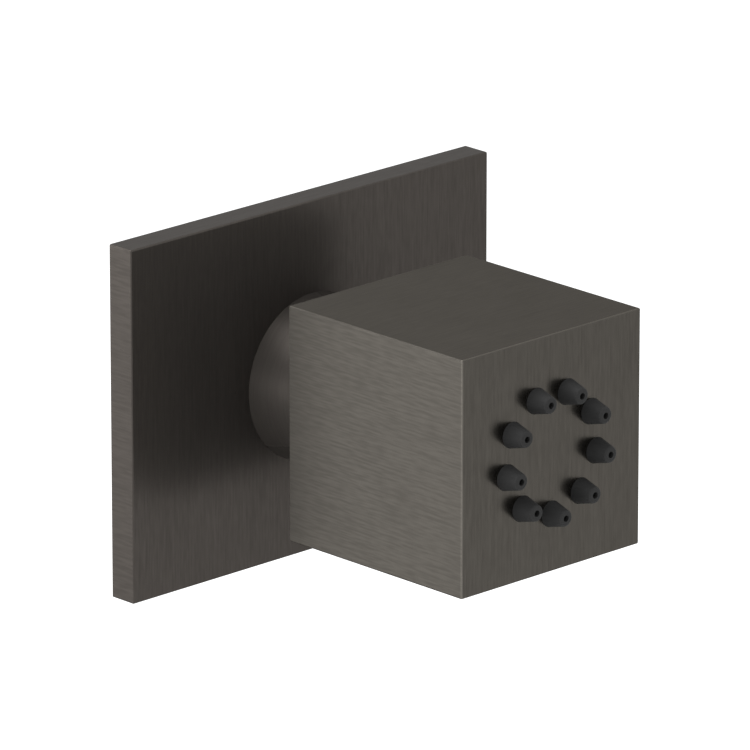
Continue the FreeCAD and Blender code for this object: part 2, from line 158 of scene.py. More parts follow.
class JetFinish(bpy.types.PropertyGroup):
    """Colours and surface detail of the part."""
    gunmetal: a_colour("Gunmetal", "Colour of the cube's coated metal", (0.0840, 0.0778, 0.0688))
    wall_gunmetal: a_colour("Wall Gunmetal", "Colour of the plate, the collar and the neck",
                            (0.0856, 0.0766, 0.0692))
    # Painted shade makes the plate's edges darker than its front
    plate_tone: a_share("Plate Tone", "How bright the wall plate's front is beside the cube", 0.82)
    plate_edge_shade: a_share("Plate Edge Shade", "How bright the plate's edges are", 0.76)
    plate_sheen: a_share("Plate Roughness", "How far the plate spreads a reflection", 0.31)
    wall_metal_share: a_share("Wall Metal Share", "Share of bare metal on the plate and collar", 0.56)
    wall_edge_tint: a_share("Wall Edge Tint", "Brightness of those pieces at a grazing angle", 0.05)
    head_metal_share: a_share("Head Metal Share", "Share of bare metal on the head's sides", 0.56)
    head_edge_tint: a_share("Head Edge Tint", "Brightness of the head at a grazing angle", 0.05)
    head_shine: a_share("Head Shine", "Strength of the coating's reflection on the head", 0.0)
    # Painted shade on the cube's front and back faces
    face_shade: a_share("Face Shade", "How bright the cube's face is beside its sides", 0.89)
    face_metal_share: a_share("Face Metal Share", "Share of bare metal on the cube's face", 1.0)
    face_sheen: a_share("Face Roughness", "How far the cube's face spreads a reflection", 0.25)
    head_sheen: a_share("Head Roughness", "How far the head's sides spread a reflection", 0.38)
    # Painted highlight on the head's upright and level edges, and painted shade on its edges towards the
    # wall
    upright_edge_highlight: a_tone("Upright Edge Highlight", "How bright the head's upright edges are", 1.7)
    level_edge_highlight: a_tone("Level Edge Highlight", "How bright the head's edges along the wall are", 1.3)
    deep_edge_shade: a_tone("Deep Edge Shade", "How bright the head's edges towards the wall are", 0.75)
    brush_width: a_length("Brush Width", "Width of one brush line", 0.00034)
    brush_length: a_length("Brush Length", "Length of one short brush line", 0.0024)
    brush_contrast: a_share("Brush Contrast", "How much the brush lines change the colour", 0.10)
    # Painted shade on the collar and the neck, which sit in the gap between the plate and the cube
    turned_shade: a_share("Turned Shade", "How bright the collar and the neck are beside the plate", 0.80)
    turned_sheen: a_share("Turned Roughness", "How far the collar and the neck spread a reflection", 0.42)
    turning_width: a_length("Turning Width", "Width of one tool mark on a turned piece", 0.00018)
    turning_length: a_length("Turning Length", "Length of one tool mark", 0.0042)
    turning_contrast: a_share("Turning Contrast", "How much the tool marks change the colour", 0.06)
    mark_size: a_length("Mark Size", "Size of the handling marks on metal", 0.012)
    skin_grain: a_length("Skin Grain", "Size of the grain on moulded pieces", 0.0002)
    skin_patch: a_length("Skin Patch", "Size of the patches on moulded pieces", 0.003)
    silicone: a_colour("Silicone", "Colour of the nozzles", (0.037, 0.037, 0.037))
    silicone_shine: a_share("Silicone Shine", "Strength of the reflection on the nozzles", 0.08)
    rubber: a_colour("Rubber", "Colour of the seals", (0.014, 0.014, 0.014))
    brass: a_colour("Brass", "Colour of the bare brass", (0.55, 0.40, 0.18))
    steel: a_colour("Steel", "Colour of the bare steel", (0.50, 0.49, 0.47))
    black_steel: a_colour("Blackened Steel", "Colour of the cover screws", (0.045, 0.043, 0.040))
    acetal: a_colour("Acetal", "Colour of the seat and the slip ring", (0.80, 0.79, 0.75))
    grey_plastic: a_colour("Grey Plastic", "Colour of the regulator and distributor", (0.16, 0.16, 0.17))


class JetNozzles(bpy.types.PropertyGroup):
    """Sizes of the moulded nozzles."""
    count: IntProperty(name="Count", description="Number of nozzles", default=9, min=3,
                       subtype="UNSIGNED")
    ring_radius: a_length("Ring Radius", "Radius of the circle of nozzles", 0.0102)
    first_angle: FloatProperty(name="First Angle", description="Place of the first nozzle",
                               default=-math.pi / 2, subtype="ANGLE", unit="ROTATION")
    base_radius: a_length("Base Radius", "Radius of a nozzle where it leaves the face", 0.0022)
    tip_radius: a_length("Tip Radius", "Radius of a nozzle at its tip", 0.00132)
    tip_round: a_length("Tip Round", "Radius of the rounded edge at the tip", 0.00035)
    jet_radius: a_length("Jet Radius", "Radius of the water hole at the tip", 0.00055)
    feed_radius: a_length("Feed Radius", "Radius of the water hole behind", 0.0011)
    mat_thickness: a_length("Mat Thickness", "Thickness of the disc behind the face", 0.0015)
    hole_radius: a_length("Hole Radius", "Radius of a nozzle's hole in the cube's face", 0.0025)
    rim_depth: a_length("Rim Depth", "Depth of the rim in a nozzle's hole", 0.001)
    rim_lip: a_length("Rim Lip", "Width and height of the lip that seats a rim", 0.00002)


class JetInlet(bpy.types.PropertyGroup):
    """Sizes of the inlet connector."""
    thread_radius: a_length("Thread Radius", "Radius at the crests of the inlet thread", 0.01048)
    thread_pitch: a_length("Thread Pitch", "Distance from crest to crest", 0.001814)
    thread_depth: a_length("Thread Depth", "Depth of the thread", 0.00116)
    thread_length: a_length("Thread Length", "Length of the inlet thread", 0.016)
    end_chamfer: a_length("End Chamfer", "Chamfer at the end of the thread", 0.001)
    lead_in: a_length("Lead In", "Chamfer at the mouth of the inlet", 0.0005)
    groove_width: a_length("Groove Width", "Width of the seal groove", 0.0018)
    groove_depth: a_length("Groove Depth", "Depth of the seal groove", 0.002)
    front_chamfer: a_length("Front Chamfer", "Chamfer at the front end", 0.0005)
    throat_radius: a_length("Throat Radius", "Radius of the narrow bore", 0.0045)
    key_across_flats: a_length("Key Across Flats", "Size of the hexagon for the key", 0.012)
    key_depth: a_length("Key Depth", "Depth of the hexagon for the key", 0.009)
    fit: a_length("Fit", "Clearance round the pieces inside", 0.00005)


class JetScrews(bpy.types.PropertyGroup):
    """Sizes of the cover screws."""
    head_radius: a_length("Head Radius", "Radius of the countersunk head", 0.00275)
    shank_radius: a_length("Shank Radius", "Radius of the thread", 0.0015)
    land: a_length("Land", "Straight rim above the cone of the head", 0.00015)
    key_across_flats: a_length("Key Across Flats", "Size of the hexagon socket", 0.002)
    key_depth: a_length("Key Depth", "Depth of the hexagon socket", 0.0011)


class JetStage(bpy.types.PropertyGroup):
    """Floor, light and camera."""
    floor: a_colour("Floor", "Colour of the floor", (0.53, 0.53, 0.53))
    floor_drop: a_length("Floor Drop", "Height of the part's centre above the floor", 0.12)
    floor_radius: a_length("Floor Radius", "Radius of the floor", 1.5)
    floor_glow: a_share("Floor Glow", "White that the camera sees on top of the lit floor", 0.60)
    surround: a_tone("Surround", "Strength of the even light all round", 0.8)
    softbox_place: a_place("Softbox Place", "Place of the lamp on the left", (-0.58, 0.22, -0.01))
    softbox_width: a_length("Softbox Width", "Width of the lamp on the left", 0.90)
    softbox_height: a_length("Softbox Height", "Height of the lamp on the left", 0.21)
    softbox_power: a_power("Softbox Power", "Power of the lamp on the left", 1.89)
    overhead_place: a_place("Overhead Place", "Place of the lamp above", (-0.25, 0.15, 0.52))
    overhead_size: a_length("Overhead Size", "Width and depth of the lamp above", 0.50)
    overhead_power: a_power("Overhead Power", "Power of the lamp above", 4.8)
    lamp_aim: a_place("Lamp Aim", "Point that the lamps face", (0.0, -0.03, 0.0))
    lens: FloatProperty(name="Lens", description="Focal length of the camera in millimetres",
                        default=469.52, min=1.0, unit="CAMERA")
    azimuth: FloatProperty(name="Azimuth", description="Direction of the camera round the part",
                           default=math.radians(-43.7725), subtype="ANGLE", unit="ROTATION")
    elevation: FloatProperty(name="Elevation", description="Height of the camera over the part",
                             default=math.radians(17.9740), subtype="ANGLE", unit="ROTATION")
    distance: a_length("Distance", "Distance of the camera", 1.5911)
    camera_aim: a_place("Camera Aim", "Point that the camera faces, before its shifts",
                        (0.0, -0.020, 0.0))
    shift_left: a_length("Shift Left", "How far the camera is moved to its left", 0.000135)
    shift_up: a_length("Shift Up", "How far the camera is moved up", 0.003468)


def node(tree, kind, inputs=None, **settings):
    """Add a node with its settings. An input is a number, a colour or another node's output."""
    made = tree.nodes.new(kind)
    for name, value in settings.items():
        setattr(made, name, value)
    for key, value in (inputs or {}).items():
        if isinstance(value, bpy.types.NodeSocket):
            tree.links.new(value, made.inputs[key])
        else:
            made.inputs[key].default_value = value
    return made


def maths(tree, operation, first, second=0.0):
    """The result of one sum on two numbers."""
    return node(tree, "ShaderNodeMath", {0: first, 1: second}, operation=operation).outputs[0]


def vector_maths(tree, operation, first, second):
    """The result of one sum on two vectors."""
    made = node(tree, "ShaderNodeVectorMath", {0: first, 1: second}, operation=operation)
    return made.outputs[0]


def spread(tree, value, low, high):
    """A value from 0 to 1 spread between two numbers."""
    made = node(tree, "ShaderNodeMapRange", {"Value": value, "To Min": low, "To Max": high})
    return made.outputs["Result"]


def between(tree, value, low, high):
    """0 for a value at one number or under it, 1 at the other or over it, and even between them."""
    made = node(tree, "ShaderNodeMapRange", {"Value": value, "From Min": low, "From Max": high})
    return made.outputs["Result"]


def noise(tree, vector, scale=1.0, detail=2.0, roughness=0.5):
    """Noise from 0 to 1 at a vector."""
    made = node(tree, "ShaderNodeTexNoise",
                {"Vector": vector, "Scale": scale, "Detail": detail, "Roughness": roughness})
    return made.outputs[0]


def blend_colours(tree, factor, first, second):
    """A blend of two colours."""
    return node(tree, "ShaderNodeMix", {0: factor, 6: first, 7: second}, data_type="RGBA").outputs[2]


def opened_group(name, inputs, outputs):
    """An empty group of shader nodes, with its named inputs and outputs."""
    tree = bpy.data.node_groups.new(name, "ShaderNodeTree")
    for label, value in inputs:
        socket = tree.interface.new_socket(label, in_out="INPUT", socket_type="NodeSocketFloat")
        socket.default_value = value
    for label in outputs:
        tree.interface.new_socket(label, in_out="OUTPUT", socket_type="NodeSocketFloat")
    return tree, node(tree, "NodeGroupInput"), node(tree, "NodeGroupOutput")


def mixed(tree, *parts):
    """The sum of some values, each with its share."""
    total, *others = [maths(tree, "MULTIPLY", value, share) for value, share in parts]
    for other in others:
        total = maths(tree, "ADD", total, other)
    return total


def along_brushing(tree, place, facing, width, run):
    """The place on a piece, drawn out along its brush lines. They run along Z on the front and
    back, along Y on the sides and along X on top."""
    across = maths(tree, "DIVIDE", 1.0, width)
    along = maths(tree, "DIVIDE", 1.0, run)
    scales = {}
    for axis, faced in zip("XYZ", "ZXY"):
        faces = maths(tree, "ABSOLUTE", facing.outputs[faced])
        flat_on = maths(tree, "GREATER_THAN", faces, FLAT_ON)
        scales[axis] = spread(tree, flat_on, across, along)
    scale = node(tree, "ShaderNodeCombineXYZ", scales)
    return vector_maths(tree, "MULTIPLY", place.outputs["Object"], scale.outputs[0])


def painted_edge_light(tree, facing, given):
    """Painted highlight and shade on rounded edges, from the three tones that the group is given.

    Half way round an edge, twice the product of two parts of its normal is 1."""
    edges = 1.0
    for label, first, second in (("Upright", "X", "Y"), ("Level", "Y", "Z"), ("Deep", "Z", "X")):
        both = maths(tree, "MULTIPLY", facing.outputs[first], facing.outputs[second])
        rounded = maths(tree, "MULTIPLY", maths(tree, "ABSOLUTE", both), 2.0)
        added = maths(tree, "SUBTRACT", given.outputs[label], 1.0)
        edges = maths(tree, "ADD", edges, maths(tree, "MULTIPLY", rounded, added))
    return edges


def brushed_grain():
    """Brush lines, deepest on the sides and faintest on top, a mask of the front and back, and the painted
    highlight and shade on rounded edges."""
    name = "Brushed Grain"
    if name in bpy.data.node_groups:
        return bpy.data.node_groups[name]
    tree, given, out = opened_group(
        name, [("Width", 0.0002), ("Length", 0.005), ("Upright", 1.0), ("Level", 1.0), ("Deep", 1.0)],
        ["Streaks", "Height", "Front", "Edges"])
    place = node(tree, "ShaderNodeTexCoord")
    facing = node(tree, "ShaderNodeSeparateXYZ", {0: place.outputs["Normal"]})
    width, run = given.outputs["Width"], given.outputs["Length"]
    drawn = along_brushing(tree, place, facing, width, run)
    far_drawn = along_brushing(tree, place, facing, width, maths(tree, "MULTIPLY", run, LONG_STRETCH))
    short = noise(tree, drawn, detail=0.0)
    long = noise(tree, vector_maths(tree, "ADD", far_drawn, LONG_STEP), detail=0.0)
    broad = noise(tree, vector_maths(tree, "ADD", drawn, BROAD_STEP), BROAD_SCALE)
    streaks = mixed(tree, (short, SHORT_LINES), (long, LONG_LINES), (broad, BROAD_LINES))
    squares = vector_maths(tree, "MULTIPLY", place.outputs["Normal"], place.outputs["Normal"])
    depth = node(tree, "ShaderNodeVectorMath", {0: squares, 1: BRUSH_DEPTHS},
                 operation="DOT_PRODUCT").outputs["Value"]
    swing = maths(tree, "MULTIPLY", maths(tree, "SUBTRACT", streaks, 0.5), depth)
    tree.links.new(maths(tree, "ADD", swing, 0.5), out.inputs["Streaks"])
    tree.links.new(mixed(tree, (short, SHORT_HEIGHT), (long, LONG_HEIGHT)), out.inputs["Height"])
    front = between(tree, maths(tree, "ABSOLUTE", facing.outputs["Y"]), FRONT_FROM, FRONT_FULL)
    tree.links.new(front, out.inputs["Front"])
    # Painted highlight and shade on rounded edges
    tree.links.new(painted_edge_light(tree, facing, given), out.inputs["Edges"])
    return tree


def turned_rings():
    """Tool marks that run round the jet's axis."""
    name = "Turned Rings"
    if name in bpy.data.node_groups:
        return bpy.data.node_groups[name]
    tree, given, out = opened_group(
        name, [("Width", 0.0002), ("Length", 0.008)], ["Streaks", "Height"])
    place = node(tree, "ShaderNodeTexCoord").outputs["Object"]
    parts = node(tree, "ShaderNodeSeparateXYZ", {0: place})
    flat = node(tree, "ShaderNodeCombineXYZ", {"X": parts.outputs["X"], "Y": parts.outputs["Z"]})
    radius = node(tree, "ShaderNodeVectorMath", {0: flat.outputs[0]}, operation="LENGTH")
    reach = maths(tree, "MULTIPLY", radius.outputs["Value"], RADIUS_WEIGHT)
    step = maths(tree, "DIVIDE", maths(tree, "ADD", parts.outputs["Y"], reach), given.outputs["Width"])
    around_x = maths(tree, "DIVIDE", parts.outputs["X"], given.outputs["Length"])
    around_z = maths(tree, "DIVIDE", parts.outputs["Z"], given.outputs["Length"])
    vector = node(tree, "ShaderNodeCombineXYZ", {"X": around_x, "Y": step, "Z": around_z}).outputs[0]
    fine = noise(tree, vector, detail=1.0)
    broad = noise(tree, vector_maths(tree, "ADD", vector, TURNED_STEP), BROAD_MARK_SCALE)
    streaks = mixed(tree, (fine, FINE_MARKS), (broad, BROAD_MARKS))
    tree.links.new(streaks, out.inputs["Streaks"])
    tree.links.new(fine, out.inputs["Height"])
    return tree


def handling_marks():
    """Soft cloudy patches left by handling and coating."""
    name = "Handling Marks"
    if name in bpy.data.node_groups:
        return bpy.data.node_groups[name]
    tree, given, out = opened_group(name, [("Patch", 0.012)], ["Marks"])
    place = node(tree, "ShaderNodeTexCoord").outputs["Object"]
    scale = maths(tree, "DIVIDE", 1.0, given.outputs["Patch"])
    marks = noise(tree, place, scale, detail=3.0, roughness=0.55)
    tree.links.new(marks, out.inputs["Marks"])
    return tree


def moulded_skin():
    """Fine grain of a moulded surface, with broader patches."""
    name = "Moulded Skin"
    if name in bpy.data.node_groups:
        return bpy.data.node_groups[name]
    tree, given, out = opened_group(name, [("Grain", 0.0002), ("Patch", 0.003)], ["Tone", "Height"])
    place = node(tree, "ShaderNodeTexCoord").outputs["Object"]
    grain = noise(tree, place, maths(tree, "DIVIDE", 1.0, given.outputs["Grain"]), roughness=0.6)
    patch = noise(tree, place, maths(tree, "DIVIDE", 1.0, given.outputs["Patch"]))
    tree.links.new(mixed(tree, (grain, GRAIN_SHARE), (patch, PATCH_SHARE)), out.inputs["Tone"])
    tree.links.new(grain, out.inputs["Height"])
    return tree


def group_node(tree, group, **values):
    """A group placed in a material with its own values."""
    made = node(tree, "ShaderNodeGroup")
    made.node_tree = group
    for label, value in values.items():
        made.inputs[label].default_value = value
    return made


def shader_of(name):
    """A new material, its tree and its Principled shader."""
    material = bpy.data.materials.new(name)
    material.use_nodes = True
    tree = material.node_tree
    return material, tree, tree.nodes["Principled BSDF"]


def toned(value, tone):
    """A colour made darker or lighter."""
    return [min(part * tone, 1.0) for part in value]


def shaded(value, tone):
    """A colour made darker or lighter, with its alpha."""
    return (*toned(value, tone), 1.0)


def metal_finish(look, name, base, group, width, run, roughness, contrast, metallic=1.0, shine=0.1,
                 edge_tint=1.0, front=None, edges=None):
    """Metal with lines in it, darker and rougher in the lines, and with faint handling marks.

    Brushed pieces may have another metal share and roughness on their front and back, and a tone there
    that sets the painted shade between the front and back and the other faces."""
    material, tree, shader = shader_of(name)
    lines = group_node(tree, group, Width=width, Length=run, **(edges or {}))
    marks = group_node(tree, handling_marks(), Patch=look.mark_size)
    streaks = between(tree, lines.outputs["Streaks"], LINE_DARK, LINE_LIGHT)
    lined = blend_colours(tree, streaks, shaded(base, 1.0 - contrast), shaded(base, 1.0 + contrast))
    tone = spread(tree, marks.outputs["Marks"], 1.0 - MARK_TONE, 1.0 + MARK_TONE)
    rough = maths(tree, "ADD",
                  spread(tree, streaks, roughness + LINE_ROUGHNESS, roughness - LINE_ROUGHNESS),
                  spread(tree, marks.outputs["Marks"], -MARK_ROUGHNESS, MARK_ROUGHNESS))
    shader.inputs["Metallic"].default_value = metallic
    # Painted highlight and shade on rounded edges
    if edges:
        tone = maths(tree, "MULTIPLY", tone, lines.outputs["Edges"])
    # Painted shade on the front and back faces; the metal share and roughness there are the front's own
    if front:
        facing = lines.outputs["Front"]
        tone = maths(tree, "MULTIPLY", tone, spread(tree, facing, 1.0, front["tone"]))
    if front and "metallic" in front:
        metal = spread(tree, facing, metallic, front["metallic"])
        tree.links.new(metal, shader.inputs["Metallic"])
        rough = maths(tree, "ADD", rough, spread(tree, facing, 0.0, front["roughness"] - roughness))
    clouded = node(tree, "ShaderNodeVectorMath", {0: lined, "Scale": tone}, operation="SCALE")
    tree.links.new(clouded.outputs[0], shader.inputs["Base Color"])
    tree.links.new(rough, shader.inputs["Roughness"])
    raised = node(tree, "ShaderNodeBump",
                  {"Height": lines.outputs["Height"], "Distance": LINE_HEIGHT})
    tree.links.new(raised.outputs["Normal"], shader.inputs["Normal"])
    shader.inputs["Specular IOR Level"].default_value = shine
    shader.inputs["Specular Tint"].default_value = (edge_tint, edge_tint, edge_tint, 1.0)
    return material


def moulded_finish(look, name, base, roughness, contrast, shine=0.5):
    """Rubber or plastic with the skin that a mould leaves."""
    material, tree, shader = shader_of(name)
    skin = group_node(tree, moulded_skin(), Grain=look.skin_grain, Patch=look.skin_patch)
    tone = skin.outputs["Tone"]
    patched = blend_colours(tree, tone, shaded(base, 1.0 - contrast), shaded(base, 1.0 + contrast))
    tree.links.new(patched, shader.inputs["Base Color"])
    rough = spread(tree, tone, roughness - SKIN_ROUGHNESS, roughness + SKIN_ROUGHNESS)
    tree.links.new(rough, shader.inputs["Roughness"])
    raised = node(tree, "ShaderNodeBump", {"Height": skin.outputs["Height"], "Distance": SKIN_HEIGHT})
    tree.links.new(raised.outputs["Normal"], shader.inputs["Normal"])
    shader.inputs["Specular IOR Level"].default_value = shine
    return material


def brushed_plate(look, name):
    """Coated metal of the wall plate, brushed, with painted shade that makes its edges darker than its
    front.
    """
    return metal_finish(
        look, name, toned(look.wall_gunmetal, look.plate_edge_shade), brushed_grain(),
        look.brush_width, look.brush_length, look.plate_sheen, look.brush_contrast,
        metallic=look.wall_metal_share, edge_tint=look.wall_edge_tint,
        # The front takes the plate tone, lifted out of the painted shade of the edges
        front={"tone": look.plate_tone / look.plate_edge_shade})


def brushed_head(look, name):
    """Coated metal of the cube, brushed, with painted highlights on its upright and level edges, painted
    shade on its edges towards the wall, and painted shade on its front and back.
    """
    return metal_finish(
        look, name, look.gunmetal, brushed_grain(),
        look.brush_width, look.brush_length, look.head_sheen, look.brush_contrast,
        metallic=look.head_metal_share, edge_tint=look.head_edge_tint, shine=look.head_shine,
        # Painted shade on the front and back faces, with their own metal share and roughness
        front={"tone": look.face_shade, "metallic": look.face_metal_share,
               "roughness": look.face_sheen},
        # Painted highlight and shade on the rounded edges
        edges={"Upright": look.upright_edge_highlight, "Level": look.level_edge_highlight, "Deep": look.deep_edge_shade})


def turned_gunmetal(look, name):
    """Coated metal of the collar and the neck, turned, and darkened with painted shade for the gap between
    the plate and the cube.
    """
    return metal_finish(
        look, name, toned(look.wall_gunmetal, look.turned_shade), turned_rings(),
        look.turning_width, look.turning_length, look.turned_sheen, look.turning_contrast,
        metallic=look.wall_metal_share, edge_tint=look.wall_edge_tint)


def turned_brass(look, name):
    """Bare brass of the inlet connector, turned."""
    return metal_finish(look, name, look.brass, turned_rings(), look.turning_width, run=0.02,
                        roughness=0.30, contrast=0.06)


def bright_steel(look, name):
    """Bare steel of the strainer, the spring and the small fixings."""
    return metal_finish(look, name, look.steel, turned_rings(), look.turning_width, run=0.004,
                        roughness=0.28, contrast=0.06)


def blackened_steel(look, name):
    """Blackened steel of the cover screws."""
    return metal_finish(look, name, look.black_steel, turned_rings(), look.turning_width, run=0.004,
                        roughness=0.42, contrast=0.075)


def soft_silicone(look, name):
    """Soft dark moulding of the nozzles."""
    return moulded_finish(look, name, look.silicone, roughness=0.55, contrast=0.12,
                          shine=look.silicone_shine)


def seal_rubber(look, name):
    """Black rubber of the seals."""
    return moulded_finish(look, name, look.rubber, roughness=0.60, contrast=0.15)


def white_acetal(look, name):
    """Hard white plastic of the seat and the slip ring."""
    return moulded_finish(look, name, look.acetal, roughness=0.35, contrast=0.03)


def grey_plastic(look, name):
    """Grey plastic of the regulator and the distributor."""
    return moulded_finish(look, name, look.grey_plastic, roughness=0.45, contrast=0.06)


FINISHES = {made.__name__: made for made in (
    brushed_plate, brushed_head, turned_gunmetal, turned_brass, bright_steel, blackened_steel,
    soft_silicone, seal_rubber, white_acetal, grey_plastic)}


def finish_of(name):
    """The material with this name, made when it is first asked for."""
    if name in bpy.data.materials:
        return bpy.data.materials[name]
    return FINISHES[name](bpy.context.scene.jet_finish, name)


def give_finish(name, *pieces):
    """Put one material on pieces that may have come with another."""
    material = finish_of(name)
    for piece in pieces:
        piece.data.materials.clear()
        piece.data.materials.append(material)


def finish_nodes(name, *cad_nodes):
    """Put one material on nodes of the frame."""
    give_finish(name, *[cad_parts[cad_node] for cad_node in cad_nodes])


def turned_mesh(name, rows, columns=96, ring=False):
    """A mesh turned about the jet's axis from rows, each a radius, or a rule for one, and its Y.

    The rows of a ring join up, and the others start and end on the axis."""
    bm = bmesh.new()
    turns = [2 * math.pi * column / columns for column in range(columns)]
    circles = []
    for radius, y in rows:
        if radius == 0.0:
            circles.append([bm.verts.new((0.0, y, 0.0))])
            continue
        circle = []
        for turn in turns:
            reach = radius(turn) if callable(radius) else radius
            circle.append(bm.verts.new((reach * math.cos(turn), y, reach * math.sin(turn))))
        circles.append(circle)
    if ring:
        circles.append(circles[0])
    for first, second in zip(circles, circles[1:]):
        for column in range(columns):
            after = (column + 1) % columns
            around = [first[column % len(first)], first[after % len(first)],
                      second[after % len(second)], second[column % len(second)]]
            bm.faces.new(list(dict.fromkeys(around)))
    return mesh_from(bm, name)


def mesh_from(bm, name):
    """Finish a mesh: face outwards, shade smooth and keep hard edges hard."""
    bmesh.ops.remove_doubles(bm, verts=bm.verts, dist=MERGE_DISTANCE)
    bmesh.ops.recalc_face_normals(bm, faces=bm.faces)
    for face in bm.faces:
        face.smooth = True
    mesh = bpy.data.meshes.new(name)
    bm.to_mesh(mesh)
    bm.free()
    mesh.set_sharp_from_angle(angle=SHARP_ANGLE)
    return mesh


def shown(name, mesh):
    """An object for a mesh, in the scene."""
    made = bpy.data.objects.new(name, mesh)
    bpy.context.scene.collection.objects.link(made)
    return made


def geometry_tree(name, inputs):
    """A Geometry Nodes tree with named inputs, ready to be filled."""
    tree = bpy.data.node_groups.new(name, "GeometryNodeTree")
    tree.interface.new_socket("Geometry", in_out="INPUT", socket_type="NodeSocketGeometry")
    tree.interface.new_socket("Geometry", in_out="OUTPUT", socket_type="NodeSocketGeometry")
    for label, kind in inputs:
        tree.interface.new_socket(label, in_out="INPUT", socket_type=kind)
    return tree, node(tree, "NodeGroupInput"), node(tree, "NodeGroupOutput")


def nodes_to_mesh(name, tree, values):
    """Run a Geometry Nodes tree with its inputs set and keep the result as a plain mesh."""
    holder = shown(name, bpy.data.meshes.new(name))
    modifier = holder.modifiers.new(tree.name, "NODES")
    modifier.node_group = tree
    for item in tree.interface.items_tree:
        if item.item_type == "SOCKET" and item.in_out == "INPUT" and item.name in values:
            modifier[item.identifier] = values[item.name]
    bpy.context.view_layer.update()
    evaluated = holder.evaluated_get(bpy.context.evaluated_depsgraph_get())
    mesh = bpy.data.meshes.new_from_object(evaluated)
    mesh.set_sharp_from_angle(angle=SHARP_ANGLE)
    holder.modifiers.remove(modifier)
    holder.data = mesh
    mesh.name = name
    return holder


def ring_points(tree, given):
    """Points on a circle in the XZ plane, from the group's count, radius and first angle."""
    circle = node(tree, "GeometryNodeMeshCircle",
                  {"Vertices": given.outputs["Count"], "Radius": given.outputs["Radius"]})
    turn = node(tree, "ShaderNodeCombineXYZ", {"X": math.pi / 2, "Y": 0.0})
    back = maths(tree, "MULTIPLY", given.outputs["First Angle"], -1.0)
    tree.links.new(back, turn.inputs["Y"])
    return node(tree, "GeometryNodeTransform",
                {"Geometry": circle.outputs[0], "Rotation": turn.outputs[0]}).outputs[0]


def copies_of(tree, points, shape):
    """A copy of an object's geometry on each point, as plain geometry."""
    copies = node(tree, "GeometryNodeInstanceOnPoints", {"Points": points, "Instance": shape})
    return node(tree, "GeometryNodeRealizeInstances", {0: copies.outputs[0]}).outputs[0]


def shape_of(tree, holder):
    """The geometry of an object that a tree is given."""
    return node(tree, "GeometryNodeObjectInfo", {"Object": holder}).outputs["Geometry"]


def nozzle_tree():
    """Moulding with a nozzle and a water hole at each point of a ring."""
    tree, given, out = geometry_tree("Nozzle Ring", [
        ("Count", "NodeSocketInt"), ("Radius", "NodeSocketFloat"), ("First Angle", "NodeSocketFloat"),
        ("Disc", "NodeSocketObject"), ("Nozzle", "NodeSocketObject"), ("Water Hole", "NodeSocketObject"),
        ("Material", "NodeSocketMaterial")])
    points = ring_points(tree, given)
    joined = node(tree, "GeometryNodeMeshBoolean", operation="UNION", solver="EXACT")
    tree.links.new(shape_of(tree, given.outputs["Disc"]), joined.inputs["Mesh 2"])
    nozzles = copies_of(tree, points, shape_of(tree, given.outputs["Nozzle"]))
    tree.links.new(nozzles, joined.inputs["Mesh 2"])
    bored = node(tree, "GeometryNodeMeshBoolean", {"Mesh 1": joined.outputs[0]},
                 operation="DIFFERENCE", solver="EXACT")
    holes = copies_of(tree, points, shape_of(tree, given.outputs["Water Hole"]))
    tree.links.new(holes, bored.inputs["Mesh 2"])
    whole = node(tree, "GeometryNodeRealizeInstances", {0: bored.outputs[0]})
    painted = node(tree, "GeometryNodeSetMaterial",
                   {"Geometry": whole.outputs[0], "Material": given.outputs["Material"]})
    tree.links.new(painted.outputs[0], out.inputs["Geometry"])
    return tree


def rim_tree():
    """A copy of one rim at each point of a ring."""
    tree, given, out = geometry_tree("Nozzle Rims", [
        ("Count", "NodeSocketInt"), ("Radius", "NodeSocketFloat"), ("First Angle", "NodeSocketFloat"),
        ("Rim", "NodeSocketObject"), ("Material", "NodeSocketMaterial")])
    whole = copies_of(tree, ring_points(tree, given), shape_of(tree, given.outputs["Rim"]))
    painted = node(tree, "GeometryNodeSetMaterial",
                   {"Geometry": whole, "Material": given.outputs["Material"]})
    tree.links.new(painted.outputs[0], out.inputs["Geometry"])
    return tree


def rounded_tip(sizes, foot_y, tip_y, steps=8):
    """The outline of a nozzle from its foot to the middle of its tip, as radius and Y."""
    slope = math.atan2(sizes.base_radius - sizes.tip_radius, foot_y - tip_y)
    turn_angle = math.pi / 2 - slope
    centre_r = sizes.tip_radius - sizes.tip_round * math.tan(turn_angle / 2)
    centre_y = tip_y + sizes.tip_round
    outline = [(sizes.base_radius, foot_y)]
    for step in range(steps + 1):
        turn = slope + turn_angle * step / steps
        outline.append((centre_r + sizes.tip_round * math.cos(turn),
                        centre_y - sizes.tip_round * math.sin(turn)))
    return outline + [(0.0, tip_y)]


